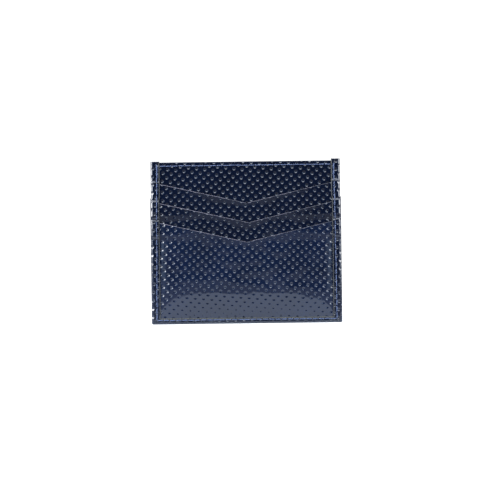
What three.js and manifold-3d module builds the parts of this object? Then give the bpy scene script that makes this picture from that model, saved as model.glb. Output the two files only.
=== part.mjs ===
// A flat leather card case: a stiffened back wall and front wall sewn into one open-topped main
// pocket, with three V-mouthed card pockets on the front and folded binding round three edges.
// Millimetres, +Z up. The front faces -Y, and the origin is the middle of the bottom edge.

import * as THREE from 'three';
import { mergeVertices } from 'three/addons/utils/BufferGeometryUtils.js';
import Module from 'manifold-3d';

const wasm = await Module();
wasm.setup();

// ---- Driving dimensions ----

const caseWidth = 100;
const caseHeight = 85;

const panelLeather = 0.8;
const pocketLeather = 0.6;
const bindingLeather = 0.5;
const liningThickness = 0.2;
const boardThickness = 0.5;
const threadDiameter = 0.4;

const cardGap = 0.85; // takes a card 0.76 thick
const mainPocketGap = 1.8; // open space between the two linings

const sideBindingWidth = 4.4;
const bottomBindingWidth = 3.2;
const bindingProud = 0.6; // how far the side strips stand above the top edge
const foldRadius = 1.2;

const upperMouthDrop = 11.2; // top edge down to the upper pocket's mouth, at the side binding
const pocketStep = 10.2; // from one pocket to the next
const mouthDepth = 10.6; // how far each V falls from the side binding to the middle
const footLand = 3; // flat strip at a pocket's foot, where it is sewn down
const hemLand = 3.5; // flat strip along the top edge, where panel meets lining
const drapeRun = 2.1; // length over which leather steps from one level to another

const hemStitchInset = 2; // top edge to the hem stitching
const bottomStitchInset = 2.2; // bottom edge to the bottom stitching
const sideStitchFromRawEdge = 1.3; // raw edge of the side binding to its stitching
const stitchEndInset = 1.7; // end of a straight seam to the end of the flat front

const glueLine = 0.02;
const foldClearance = 0.3; // panel edges to the inside of the fold
const seamClearance = 0.3;
const mitreGap = 0.3;
const threadClearance = 0.05;
const holeClearance = 0.3;
const restClearance = 0.03; // how far the back face stands behind the back stitching

// ---- Places across the width and height ----

const halfWidth = caseWidth / 2;
const bindingInnerX = halfWidth - sideBindingWidth;
const sheetEdgeX = halfWidth - bindingLeather - foldClearance;
const seamLandX = bindingInnerX - seamClearance;
const flatHalf = seamLandX - drapeRun; // the flat front, where cards lie, ends here

const sheetBottomZ = bindingLeather + foldClearance;
const seamLandZ = bottomBindingWidth + seamClearance;
const flatBottomZ = seamLandZ + drapeRun;
const hemBottomZ = caseHeight - hemLand;
const boardTopZ = hemBottomZ - drapeRun;

// Pockets count from the front: 0 lower, 1 middle, 2 upper.
const mouthSideZ = (k) => caseHeight - upperMouthDrop - (2 - k) * pocketStep;
const mouthRise = (x) => mouthDepth * (Math.abs(x) / bindingInnerX - 1);
const mouthEdgeZ = (k) => mouthSideZ(k) + mouthRise(sheetEdgeX);
const wingBottomZ = (k) => mouthEdgeZ(k - 2) + drapeRun + seamClearance;
const cardSeatZ = (k) => flatBottomZ + k * pocketStep;
const footTopZ = (k) => cardSeatZ(k) - drapeRun;
const footBottomZ = (k) => footTopZ(k) - footLand;

// Where sheets crease from one level to the next, bottom to top.
const creaseZ = [
  sheetBottomZ, seamLandZ, flatBottomZ,
  footBottomZ(1), footTopZ(1), cardSeatZ(1),
  footBottomZ(2), footTopZ(2), cardSeatZ(2),
  wingBottomZ(1) - drapeRun, wingBottomZ(1),
  wingBottomZ(2) - drapeRun, wingBottomZ(2),
  boardTopZ, hemBottomZ, caseHeight,
].sort((a, b) => a - b);
const creaseX = [-sheetEdgeX, -seamLandX, -flatHalf, flatHalf, seamLandX, sheetEdgeX];

// ---- Levels through the thickness ----
// A level counts forwards from the back face of the back panel's seam edge. Each pair is the
// level of a sheet's back face at the sewn seam and on the flat front.

const backProud = glueLine + bindingLeather + threadClearance + threadDiameter + restClearance;
const backPanelSeam = 0;
const backLiningSeam = backPanelSeam + panelLeather + glueLine;
const frontLiningSeam = backLiningSeam + liningThickness + glueLine;
const frontPanelSeam = frontLiningSeam + liningThickness + glueLine;
const firstPocketSeam = frontPanelSeam + panelLeather + glueLine;
const secondPocketSeam = firstPocketSeam + pocketLeather + glueLine;

const backPanelFlat = -backProud;
const backBoardFlat = backPanelFlat + panelLeather + glueLine;
const backLiningFlat = backBoardFlat + boardThickness + glueLine;
const frontLiningFlat = backLiningFlat + liningThickness + mainPocketGap;
const frontBoardFlat = frontLiningFlat + liningThickness + glueLine;
const frontPanelFlat = frontBoardFlat + boardThickness + glueLine;
const pocketFlat = (k) => frontPanelFlat + panelLeather + cardGap
  + (2 - k) * (pocketLeather + cardGap);
const footLevel = frontPanelFlat + panelLeather + glueLine;

const caseDepth = pocketFlat(0) + pocketLeather - backPanelFlat;
const yAt = (level) => caseDepth / 2 + backPanelFlat - level;

// ---- Making solids ----

const patent = (roughness) => new THREE.MeshStandardMaterial({
  color: 0x1d2f57, roughness, metalness: 0,
});
const panelFinish = patent(0.22);
const bindingFinish = patent(0.3);
const liningFinish = new THREE.MeshStandardMaterial({ color: 0x1b2233, roughness: 0.9 });
const boardFinish = new THREE.MeshStandardMaterial({ color: 0x9a9080, roughness: 0.95 });
const threadFinish = new THREE.MeshStandardMaterial({ color: 0x5f73a5, roughness: 0.6 });

function toSolid(geometry) {
  geometry.deleteAttribute('normal');
  geometry.deleteAttribute('uv');
  const merged = mergeVertices(geometry, 1e-4);
  return new wasm.Manifold(new wasm.Mesh({
    numProp: 3,
    vertProperties: new Float32Array(merged.attributes.position.array),
    triVerts: new Uint32Array(merged.index.array),
  }));
}

function toMesh(name, solid, material) {
  const { vertProperties, triVerts } = solid.getMesh();
  const geometry = new THREE.BufferGeometry();
  geometry.setAttribute('position', new THREE.BufferAttribute(vertProperties, 3));
  geometry.setIndex(new THREE.BufferAttribute(triVerts, 1));
  geometry.computeVertexNormals();
  const mesh = new THREE.Mesh(geometry, material.clone());
  mesh.name = name;
  return mesh;
}

// Both faces of a sheet crease along the same diagonals, mirrored about the middle of the case,
// so stacked sheets nest without touching.
function creaseAlike(box, columns, rows) {
  const index = box.index.array;
  const backFace = 2;
  const frontFace = 3;
  for (const face of [backFace, frontFace]) {
    for (let cell = 0; cell < columns * rows; cell += 1) {
      const at = box.groups[face].start + cell * 6;
      const [a, b, d] = [index[at], index[at + 1], index[at + 2]];
      const c = index[at + 4];
      const isLeftHalf = cell % columns < columns / 2;
      if (isLeftHalf === (face === backFace)) index.set([a, b, c, a, c, d], at);
    }
  }
}

// A sheet of leather or lining: levelAt(x, z) is the level of its back face at each crease.
function bentSheet(levelAt, thickness) {
  const columns = creaseX.length - 1;
  const rows = creaseZ.length - 1;
  const box = new THREE.BoxGeometry(1, 1, 1, columns, 1, rows);
  const place = box.attributes.position;
  for (let i = 0; i < place.count; i += 1) {
    const x = creaseX[Math.round((place.getX(i) + 0.5) * columns)];
    const z = creaseZ[Math.round((place.getZ(i) + 0.5) * rows)];
    const isFront = place.getY(i) < 0;
    place.setXYZ(i, x, yAt(levelAt(x, z) + (isFront ? thickness : 0)), z);
  }
  creaseAlike(box, columns, rows);
  return toSolid(box);
}

// An outline in x and z, extruded through the whole thickness of the case.
function throughPrism(points) {
  const outline = new THREE.Shape(points.map(([x, z]) => new THREE.Vector2(x, z)));
  const prism = new THREE.ExtrudeGeometry(outline, { depth: 2 * caseDepth, bevelEnabled: false });
  prism.rotateX(Math.PI / 2);
  prism.translate(0, caseDepth, 0);
  return toSolid(prism);
}

// Round thread holes, straight through, at the given places.
function pierce(solid, holes) {
  const radius = threadDiameter / 2 + holeClearance;
  return holes.reduce((cut, [x, z]) => {
    const hole = new THREE.CylinderGeometry(radius, radius, 4 * caseDepth, 8);
    hole.translate(x, 0, z);
    return cut.subtract(toSolid(hole));
  }, solid);
}

const isFlat = (x, z) => Math.abs(x) <= flatHalf && z >= flatBottomZ;
const bothSides = (x, z) => [[-x, z], [x, z]];

// ---- Seams: where each thread passes through ----

const edgeStitchX = bindingInnerX + sideStitchFromRawEdge;
const hemStitchZ = caseHeight - hemStitchInset;
const straightEndX = flatHalf - stitchEndInset;
const footStitchZ = (k) => footBottomZ(k) + footLand / 2;

const edgeHoles = bothSides(edgeStitchX, hemStitchZ);
const hemHoles = bothSides(straightEndX, hemStitchZ);
const footHoles = (k) => bothSides(straightEndX, footStitchZ(k));

// ---- Walls ----

// A wall panel follows its board on the flat and steps in to its lining along the top hem.
const wallPanelLevel = (seam, flat, hem) => (x, z) => {
  if (!isFlat(x, z)) return seam;
  return z >= hemBottomZ ? hem : flat;
};
const liningLevel = (seam, flat) => (x, z) => (isFlat(x, z) ? flat : seam);

function board(level, holes) {
  const width = 2 * (flatHalf - seamClearance);
  const bottom = flatBottomZ + seamClearance;
  const height = boardTopZ - bottom;
  const box = new THREE.BoxGeometry(width, boardThickness, height);
  box.translate(0, yAt(level + boardThickness / 2), bottom + height / 2);
  return pierce(toSolid(box), holes);
}

const frontWallHoles = [...footHoles(1), ...footHoles(2)];
const backHemLevel = backLiningFlat - glueLine - panelLeather;
const frontHemLevel = frontLiningFlat + liningThickness + glueLine;

const backPanel = pierce(
  bentSheet(wallPanelLevel(backPanelSeam, backPanelFlat, backHemLevel), panelLeather),
  [...edgeHoles, ...hemHoles],
);
const backLining = pierce(
  bentSheet(liningLevel(backLiningSeam, backLiningFlat), liningThickness),
  [...edgeHoles, ...hemHoles],
);
const frontLining = pierce(
  bentSheet(liningLevel(frontLiningSeam, frontLiningFlat), liningThickness),
  [...edgeHoles, ...hemHoles, ...frontWallHoles],
);
const frontPanel = pierce(
  bentSheet(wallPanelLevel(frontPanelSeam, frontPanelFlat, frontHemLevel), panelLeather),
  [...edgeHoles, ...hemHoles, ...frontWallHoles],
);

// ---- Card pockets ----

const mouthOutline = (k) => [
  [sheetEdgeX, mouthEdgeZ(k)], [0, mouthSideZ(k) + mouthRise(0)], [-sheetEdgeX, mouthEdgeZ(k)],
];

// At the seam, a pocket lies on the front panel, or on the wing of the pocket behind it.
const pocketSeam = (k, z) => (z >= wingBottomZ(k + 1) && k < 2 ? secondPocketSeam : firstPocketSeam);

// The upper and middle pockets are T-shaped: sewn in by their wings and at their foot.
function teePocket(k) {
  const level = (x, z) => {
    if (Math.abs(x) > flatHalf) return pocketSeam(k, z);
    return z <= footTopZ(k) ? footLevel : pocketFlat(k);
  };
  const wing = wingBottomZ(k);
  const foot = footBottomZ(k);
  const outline = throughPrism([
    [-sheetEdgeX, wing], [-flatHalf, wing], [-flatHalf, foot], [flatHalf, foot],
    [flatHalf, wing], [sheetEdgeX, wing], ...mouthOutline(k),
  ]);
  return pierce(bentSheet(level, pocketLeather).intersect(outline), footHoles(k));
}

function lowerPocket() {
  const level = (x, z) => (isFlat(x, z) ? pocketFlat(0) : pocketSeam(0, z));
  const outline = throughPrism([
    [-sheetEdgeX, sheetBottomZ], [sheetEdgeX, sheetBottomZ], ...mouthOutline(0),
  ]);
  return bentSheet(level, pocketLeather).intersect(outline);
}

// ---- Folded binding ----

// The front of the sewn stack, bottom to top: it thickens over the wings of the pockets.
const seamFront = {
  wall: frontPanelSeam + panelLeather,
  one: firstPocketSeam + pocketLeather,
  two: secondPocketSeam + pocketLeather,
};
const seamSteps = [
  [0, seamFront.one],
  [wingBottomZ(1) - drapeRun, seamFront.one],
  [wingBottomZ(1), seamFront.two],
  [mouthEdgeZ(1), seamFront.two],
  [mouthEdgeZ(1) + drapeRun, seamFront.one],
  [mouthEdgeZ(2), seamFront.one],
  [mouthEdgeZ(2) + drapeRun, seamFront.wall],
  [caseHeight + bindingProud, seamFront.wall],
];

// A strip folded round an edge: across is the distance in from the outer edge of the case.
function foldProfile(across, width, frontLevel, place) {
  const front = frontLevel + glueLine;
  const back = backPanelSeam - glueLine;
  const outerFront = front + bindingLeather;
  const outerBack = back - bindingLeather;
  const outline = new THREE.Shape();
  const to = (step, level) => outline.lineTo(...place(across(step), yAt(level)));
  const roundTo = (stepA, levelA, stepB, levelB) => outline.quadraticCurveTo(
    ...place(across(stepA), yAt(levelA)), ...place(across(stepB), yAt(levelB)),
  );
  outline.moveTo(...place(across(width), yAt(front)));
  to(bindingLeather, front);
  to(bindingLeather, back);
  to(width, back);
  to(width, outerBack);
  to(foldRadius, outerBack);
  roundTo(0, outerBack, 0, outerBack + foldRadius);
  to(0, outerFront - foldRadius);
  roundTo(0, outerFront, foldRadius, outerFront);
  to(width, outerFront);
  outline.closePath();
  return outline;
}

// The mitre runs from the inner corner of the two strips to the outer corner of the case.
const mitreX = (z, shift) => halfWidth - (z * sideBindingWidth) / bottomBindingWidth + shift;
const beyond = 2; // how far the cutting outlines pass the strips

function sideBinding(side) {
  const outline = foldProfile(
    (step) => side * (halfWidth - step), sideBindingWidth, seamFront.wall, (x, y) => [x, y],
  );
  const steps = seamSteps.length - 1;
  const strip = new THREE.ExtrudeGeometry(outline, {
    depth: steps, steps, curveSegments: 4, bevelEnabled: false,
  });
  const place = strip.attributes.position;
  const middleY = yAt((backPanelSeam + seamFront.wall) / 2);
  for (let i = 0; i < place.count; i += 1) {
    const [z, level] = seamSteps[Math.round(place.getZ(i))];
    const isFront = place.getY(i) < middleY;
    if (isFront) place.setY(i, place.getY(i) - (level - seamFront.wall));
    place.setZ(i, z);
  }
  const top = caseHeight + bindingProud + beyond;
  const kept = throughPrism([
    [side * mitreX(-beyond, mitreGap / 2), -beyond],
    [side * mitreX(bottomBindingWidth + beyond, mitreGap / 2), bottomBindingWidth + beyond],
    [side * mitreX(bottomBindingWidth + beyond, mitreGap / 2), top],
    [side * mitreX(-beyond, mitreGap / 2), top],
  ]);
  return pierce(toSolid(strip).intersect(kept), edgeHoles);
}

function bottomBinding() {
  const outline = foldProfile(
    (step) => step, bottomBindingWidth, seamFront.one, (z, y) => [y, z],
  );
  const strip = new THREE.ExtrudeGeometry(outline, {
    depth: caseWidth, curveSegments: 4, bevelEnabled: false,
  });
  strip.applyMatrix4(new THREE.Matrix4().makeBasis(
    new THREE.Vector3(0, 1, 0), new THREE.Vector3(0, 0, 1), new THREE.Vector3(1, 0, 0),
  ));
  strip.translate(-halfWidth, 0, 0);
  const top = bottomBindingWidth + beyond;
  const kept = throughPrism([
    [-mitreX(-beyond, -mitreGap / 2), -beyond], [mitreX(-beyond, -mitreGap / 2), -beyond],
    [mitreX(top, -mitreGap / 2), top], [-mitreX(top, -mitreGap / 2), top],
  ]);
  return toSolid(strip).intersect(kept);
}

// ---- Stitching ----

// A thread laid straight from point to point, with mitred elbows.
function thread(points) {
  const radius = threadDiameter / 2;
  const elbow = (before, here, after) => {
    const bend = here.clone().sub(before).angleTo(after.clone().sub(here));
    return radius * Math.tan(bend / 2);
  };
  const rods = points.slice(1).map((end, i) => {
    const start = points[i];
    const along = end.clone().sub(start).normalize();
    const runIn = i > 0 ? elbow(points[i - 1], start, end) : 0;
    const runOut = i + 2 < points.length ? elbow(start, end, points[i + 2]) : 0;
    const length = start.distanceTo(end) + runIn + runOut;
    const rod = new THREE.CylinderGeometry(radius, radius, length, 8);
    rod.translate(0, length / 2 - runIn, 0);
    rod.applyQuaternion(new THREE.Quaternion().setFromUnitVectors(
      new THREE.Vector3(0, 1, 0), along,
    ));
    rod.translate(start.x, start.y, start.z);
    return toSolid(rod);
  });
  return rods.reduce((joined, rod) => joined.add(rod));
}

// The level of a thread's middle when it lies in front of, or behind, a face at that level.
const threadStandoff = threadClearance + threadDiameter / 2;
const inFrontOf = (level) => yAt(level + threadStandoff);
const behind = (level) => yAt(level - threadStandoff);
const tailGap = 3 * threadDiameter;

// One seam: the front run, then back through the end hole and home again behind the work, so that
// the two tails nearly meet at the first hole.
function seam(frontRun, backY) {
  const backRun = frontRun.map((point) => new THREE.Vector3(point.x, backY, point.z)).reverse();
  const first = backRun[backRun.length - 1];
  const inward = backRun[backRun.length - 2].clone().sub(first).setLength(tailGap);
  const tail = first.clone().add(inward);
  return thread([first, ...frontRun, ...backRun.slice(0, -1), tail]);
}

function straightSeam(z, frontY, backY) {
  return seam(
    [new THREE.Vector3(-straightEndX, frontY, z), new THREE.Vector3(straightEndX, frontY, z)],
    backY,
  );
}

function edgeSeam() {
  const onBinding = (level) => inFrontOf(level + glueLine + bindingLeather);
  const rightRun = seamSteps
    .filter(([z]) => z > bottomStitchInset && z < hemStitchZ)
    .map(([z, level]) => new THREE.Vector3(edgeStitchX, onBinding(level), z));
  rightRun.unshift(new THREE.Vector3(edgeStitchX, onBinding(seamFront.one), bottomStitchInset));
  rightRun.push(new THREE.Vector3(edgeStitchX, onBinding(seamFront.wall), hemStitchZ));
  const leftRun = rightRun.map((point) => new THREE.Vector3(-point.x, point.y, point.z)).reverse();
  const backY = behind(backPanelSeam - glueLine - bindingLeather);
  return seam([...leftRun, ...rightRun], backY);
}

const mainPocketRun = behind(frontLiningFlat);
const footSeam = (k) => straightSeam(footStitchZ(k), inFrontOf(footLevel + pocketLeather), mainPocketRun);

// ---- The case, back to front ----

const cardCase = new THREE.Group();
cardCase.name = 'card_case';
cardCase.add(
  toMesh('back_panel', backPanel, panelFinish),
  toMesh('back_stiffener', board(backBoardFlat, []), boardFinish),
  toMesh('back_lining', backLining, liningFinish),
  toMesh('front_lining', frontLining, liningFinish),
  toMesh('front_stiffener', board(frontBoardFlat, frontWallHoles), boardFinish),
  toMesh('front_panel', frontPanel, panelFinish),
  toMesh('upper_pocket', teePocket(2), panelFinish),
  toMesh('middle_pocket', teePocket(1), panelFinish),
  toMesh('lower_pocket', lowerPocket(), panelFinish),
  toMesh('left_binding', sideBinding(-1), bindingFinish),
  toMesh('right_binding', sideBinding(1), bindingFinish),
  toMesh('bottom_binding', bottomBinding(), bindingFinish),
  toMesh('edge_stitching', edgeSeam(), threadFinish),
  toMesh('front_top_stitching', straightSeam(
    hemStitchZ, inFrontOf(frontHemLevel + panelLeather), mainPocketRun,
  ), threadFinish),
  toMesh('back_top_stitching', straightSeam(
    hemStitchZ, inFrontOf(backLiningFlat + liningThickness), behind(backHemLevel),
  ), threadFinish),
  toMesh('upper_foot_stitching', footSeam(2), threadFinish),
  toMesh('middle_foot_stitching', footSeam(1), threadFinish),
);

export default cardCase;
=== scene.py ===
# A flat navy patent leather card case, stamped all over with round hollows. It is built up in the
# order a maker sews one: the front wall, its card pockets, the back wall, the folded edge strips,
# and last the long seams.

import math

import bmesh
import bpy
from mathutils import Matrix, Vector, noise


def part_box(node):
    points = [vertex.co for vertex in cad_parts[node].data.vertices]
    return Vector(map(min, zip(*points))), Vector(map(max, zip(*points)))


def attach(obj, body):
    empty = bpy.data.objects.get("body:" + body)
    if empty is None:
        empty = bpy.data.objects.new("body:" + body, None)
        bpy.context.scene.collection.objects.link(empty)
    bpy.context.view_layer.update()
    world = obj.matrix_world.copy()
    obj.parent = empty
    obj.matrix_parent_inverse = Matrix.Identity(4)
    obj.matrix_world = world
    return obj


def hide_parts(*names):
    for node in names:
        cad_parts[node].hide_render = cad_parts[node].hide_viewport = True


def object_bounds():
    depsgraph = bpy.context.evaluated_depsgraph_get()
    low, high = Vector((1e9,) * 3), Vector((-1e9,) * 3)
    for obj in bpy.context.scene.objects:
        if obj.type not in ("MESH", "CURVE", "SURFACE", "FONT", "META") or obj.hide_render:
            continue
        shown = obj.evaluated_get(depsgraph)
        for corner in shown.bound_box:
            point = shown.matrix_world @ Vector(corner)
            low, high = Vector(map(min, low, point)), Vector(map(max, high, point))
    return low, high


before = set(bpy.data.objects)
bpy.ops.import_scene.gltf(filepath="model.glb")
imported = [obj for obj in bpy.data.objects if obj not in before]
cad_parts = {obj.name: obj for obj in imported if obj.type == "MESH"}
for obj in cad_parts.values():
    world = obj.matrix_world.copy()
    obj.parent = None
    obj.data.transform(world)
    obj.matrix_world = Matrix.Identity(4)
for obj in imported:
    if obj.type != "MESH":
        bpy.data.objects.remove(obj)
cad_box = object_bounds()
MM = 0.001


# ---- Front panel ---------------------------------------------------------------------------------
# The tall panel behind the card pockets: 0.8 mm leather with a glossy patent film, stamped with a
# lattice of round hollows, cut square to size and sewn to its lining along the top hem.

PANEL_LEATHER = 0.8 * MM
DOT_PITCH = 3.05 * MM
# Each ring of a stamped hollow, from its lip to its floor: radius, then depth.
DOT_RINGS = (
    (1.17 * MM, 0), (1.03 * MM, 0), (0.86 * MM, 0.055 * MM), (0.57 * MM, 0.19 * MM),
    (0.3 * MM, 0.3 * MM),
)
BLUNT = 0.3 * MM  # how far a cut edge is rounded over by wear and edge paint

case_low, case_high = cad_box
HALF_WIDTH = (case_high.x - case_low.x) / 2
binding_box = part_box("right_binding")
bottom_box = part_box("bottom_binding")
panel_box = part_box("front_panel")
PAST_STRIP = 0.3 * MM
LAND_X = binding_box[0].x - PAST_STRIP  # leather is pressed flat from here out to the sewn edge
LAND_Z = bottom_box[1].z + PAST_STRIP
SIDE_FALL = 4.5  # how sharply a wall turns down to its side seams
BELLY = 18 * MM  # height over which the middle of a wall rises from the bottom seam
CORNER_BELLY = 0.55  # share of that height over which it rises beside the side seams
BELLY_LEAN = 0.12  # how much lower the belly sits on the right, as a share of its height
BOTTOM_FALL = 2.2  # how sharply a wall turns down to its bottom seam
RIPPLE = 0.08  # how uneven the leather lies, as a share of its fullness
RIPPLE_REACH = 5 * MM
RIPPLE_STRETCH = 0.6  # ripples are longer across the case than up it
ROW_ANGLE = 45  # the rows of hollows run diagonally
FIRST_INSET = 0.1 * MM  # starts the rings of a hollow, before each is set to its radius
CUT_SLACK = 1e-7  # points this near to a cut count as lying on it
BLUNT_STEPS = (0, 0.1, 0.35, 0.7, 1.2)  # scored lines along a cut edge, as shares of BLUNT
FLESH_SHARE = 0.6  # how far the flesh side of a cut edge is rounded, beside the glossy side
CREASE = math.radians(50)  # edges sharper than this stay crisp


def fullness(x, z):
    """How far a wall stands off its seams: 0 along the sewn edges, 1 where it lies free."""
    across = 1 - min(abs(x) / LAND_X, 1) ** SIDE_FALL
    belly = BELLY * (CORNER_BELLY + (1 - CORNER_BELLY) * across) * (1 - BELLY_LEAN * x / LAND_X)
    up = 1 - (1 - min(max((z - LAND_Z) / belly, 0), 1)) ** BOTTOM_FALL
    ripple = noise.noise(Vector((RIPPLE_STRETCH * x, 0, z)) / RIPPLE_REACH)
    return across * up * (1 - RIPPLE * (1 + ripple) / 2)


def stamped_leather(left, bottom, right, top, turn, shift):
    """Flat leather, face up, over a rectangle, with its rows of hollows turned by some degrees.

    The shift moves the rows, in pitches.
    """
    bm = bmesh.new()
    reach = math.hypot(right - left, top - bottom) / 2 + DOT_PITCH
    rows = math.ceil(2 * reach / DOT_PITCH)
    bmesh.ops.create_grid(bm, x_segments=rows, y_segments=rows, size=rows * DOT_PITCH / 2)
    middle = Vector(((left + right) / 2, (bottom + top) / 2, 0))
    offset = Vector((shift[0] * DOT_PITCH, shift[1] * DOT_PITCH, 0))
    bmesh.ops.translate(bm, verts=bm.verts, vec=offset)
    turned = Matrix.Rotation(math.radians(ROW_ANGLE + turn), 3, "Z")
    bmesh.ops.rotate(bm, verts=bm.verts, matrix=turned)
    bmesh.ops.translate(bm, verts=bm.verts, vec=middle)
    spare = []
    for face in bm.faces:
        place = face.calc_center_median()
        beyond_x = max(left - place.x, place.x - right)
        beyond_z = max(bottom - place.y, place.y - top)
        if max(beyond_x, beyond_z) > DOT_PITCH:
            spare.append(face)
    bmesh.ops.delete(bm, geom=spare, context="FACES")
    bmesh.ops.bisect_edges(bm, edges=bm.edges[:], cuts=1)
    hollows = bm.faces[:]
    for radius, depth in DOT_RINGS:
        bmesh.ops.inset_individual(bm, faces=hollows, thickness=FIRST_INSET)
        for hollow in hollows:
            centre = hollow.calc_center_median()
            centre.z = 0
            for vert in hollow.verts:
                spoke = Vector((vert.co.x - centre.x, vert.co.y - centre.y, 0)).normalized()
                vert.co = centre + spoke * radius
                vert.co.z = -depth
    return bm


def trim(bm, point, outward, side=0, split=0):
    """Cuts away the leather beyond a straight line, and scores it where its edge rounds over.

    With a side of -1 or 1, the cut stops at the split, and only that side of it is trimmed.
    """
    point, outward = Vector((*point, 0)), Vector((*outward, 0)).normalized()
    for step in BLUNT_STEPS:
        faces = bm.faces[:]
        if side:
            faces = [face for face in faces if (face.calc_center_median().x - split) * side > 0]
        geom = list({part for face in faces for part in (face, *face.edges, *face.verts)})
        bmesh.ops.bisect_plane(
            bm, geom=geom, dist=CUT_SLACK, plane_co=point - outward * step * BLUNT,
            plane_no=outward, clear_outer=step == 0,
        )
    return point, outward, side, split


def give_body(bm, thickness, edges):
    """Gives flat leather its thickness, and rounds it over along the given trimmed edges."""
    grown = bmesh.ops.extrude_face_region(bm, geom=bm.faces[:])["geom"]
    back = {part for part in grown if isinstance(part, bmesh.types.BMVert)}
    for vert in bm.verts:
        if vert in back:
            vert.co.z = -thickness
        for point, outward, side, split in edges:
            if side * (vert.co.x - split) < -10 * CUT_SLACK:
                continue
            inside = max((point - vert.co).dot(outward), 0)
            if inside < BLUNT:
                drop = BLUNT - math.sqrt(BLUNT**2 - (BLUNT - inside) ** 2)
                vert.co.z += drop * FLESH_SHARE if vert in back else -drop
    bmesh.ops.recalc_face_normals(bm, faces=bm.faces[:])


def drape(bm, front_y, turned=False):
    """Stands flat leather up with its face at front_y(x, z), looking backwards if turned."""
    for vert in bm.verts:
        x, z, rise = vert.co
        if turned:
            vert.co = (-x, front_y(-x, z) + rise, z)
        else:
            vert.co = (x, front_y(x, z) - rise, z)


def finish_mesh(bm, name, materials):
    """Makes the named object, with its faces outward and smooth but for the crisp edges."""
    if bm.calc_volume(signed=True) < 0:
        bmesh.ops.reverse_faces(bm, faces=bm.faces[:])
    for face in bm.faces:
        face.smooth = True
    for edge in bm.edges:
        if edge.is_manifold and edge.calc_face_angle(0) > CREASE:
            edge.smooth = False
    mesh = bpy.data.meshes.new(name)
    bm.to_mesh(mesh)
    bm.free()
    for material in materials:
        mesh.materials.append(material)
    piece = bpy.data.objects.new(name, mesh)
    bpy.context.collection.objects.link(piece)
    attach(piece, "root")
    return piece


def set_sockets(node, values):
    """Sets a node's inputs by name."""
    for name, value in values.items():
        node.inputs[name].default_value = value


def grain(tree, scale, detail):
    """The strength of a noise in the piece's own coordinates."""
    place = tree.nodes.new("ShaderNodeTexCoord")
    texture = tree.nodes.new("ShaderNodeTexNoise")
    set_sockets(texture, {"Scale": scale, "Detail": detail})
    tree.links.new(place.outputs["Object"], texture.inputs["Vector"])
    return texture.outputs["Fac"]


def calculated(tree, operation, *values):
    """The outcome of a calculation with plain numbers and the outputs of other nodes."""
    node = tree.nodes.new("ShaderNodeMath")
    node.operation = operation
    for socket, value in zip(node.inputs, values):
        if isinstance(value, bpy.types.NodeSocket):
            tree.links.new(value, socket)
        else:
            socket.default_value = value
    return node.outputs[0]


FILM_GLOSS = 0.05  # roughness of the film where nothing has rubbed it
RUB = 0.08  # how much rougher rubbing makes it at most


def film_wear_group():
    """Slow colour change, fine orange peel and faint rub marks of a patent film."""
    group = bpy.data.node_groups.new("patent_film", "ShaderNodeTree")
    for name, way, kind in (
        ("Deep", "INPUT", "Color"), ("Lit", "INPUT", "Color"), ("Gloss", "INPUT", "Float"),
        ("Color", "OUTPUT", "Color"), ("Roughness", "OUTPUT", "Float"), ("Height", "OUTPUT", "Float"),
    ):
        group.interface.new_socket(name=name, in_out=way, socket_type="NodeSocket" + kind)
    nodes, links = group.nodes, group.links
    given = nodes.new("NodeGroupInput")
    result = nodes.new("NodeGroupOutput")
    shade = nodes.new("ShaderNodeMix")
    shade.data_type = "RGBA"
    links.new(grain(group, scale=55, detail=3), shade.inputs["Factor"])
    links.new(given.outputs["Deep"], shade.inputs["A"])
    links.new(given.outputs["Lit"], shade.inputs["B"])
    links.new(shade.outputs["Result"], result.inputs["Color"])
    rubbed = grain(group, scale=240, detail=4)
    rough = calculated(group, "MULTIPLY_ADD", rubbed, RUB, given.outputs["Gloss"])
    links.new(rough, result.inputs["Roughness"])
    links.new(grain(group, scale=900, detail=2), result.inputs["Height"])
    return group


patent_film = film_wear_group()


def new_material(name):
    """A material, its node tree and its shader."""
    material = bpy.data.materials.new(name)
    material.use_nodes = True
    return material, material.node_tree, material.node_tree.nodes["Principled BSDF"]


def raise_grain(tree, shader, height, strength, depth):
    """Lets a height show as relief."""
    bump = tree.nodes.new("ShaderNodeBump")
    set_sockets(bump, {"Strength": strength, "Distance": depth})
    tree.links.new(height, bump.inputs["Height"])
    tree.links.new(bump.outputs["Normal"], shader.inputs["Normal"])


def patent_leather(name, deep, lit):
    """Navy leather under a clear patent film."""
    material, tree, shader = new_material(name)
    set_sockets(shader, {"IOR": 1.5, "Coat Weight": 0.35, "Coat Roughness": 0.08})
    film = tree.nodes.new("ShaderNodeGroup")
    film.node_tree = patent_film
    set_sockets(film, {"Deep": (*deep, 1), "Lit": (*lit, 1), "Gloss": FILM_GLOSS})
    tree.links.new(film.outputs["Color"], shader.inputs["Base Color"])
    tree.links.new(film.outputs["Roughness"], shader.inputs["Roughness"])
    raise_grain(tree, shader, film.outputs["Height"], strength=0.06, depth=0.05 * MM)
    return material


NAVY_DEEP, NAVY_LIT = (0.0012, 0.002, 0.006), (0.0028, 0.0062, 0.019)
panel_patent = patent_leather("navy_patent", NAVY_DEEP, NAVY_LIT)

# The front wall of an empty case settles back from where it stands with notes in the pocket.
WALL_SETTLE = 0.4 * MM
panel_seam_y = panel_box[1].y - PANEL_LEATHER
panel_flat_y = panel_box[0].y + WALL_SETTLE


def panel_front_y(x, z):
    return panel_seam_y + (panel_flat_y - panel_seam_y) * fullness(x, z)


def whole_panel(box, turn, shift):
    """A rectangle of stamped leather with all four edges trimmed."""
    (left, _, bottom), (right, _, top) = box
    bm = stamped_leather(left, bottom, right, top, turn, shift)
    edges = [
        trim(bm, (0, top), (0, 1)), trim(bm, (0, bottom), (0, -1)),
        trim(bm, (right, 0), (1, 0)), trim(bm, (left, 0), (-1, 0)),
    ]
    return bm, edges


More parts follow.
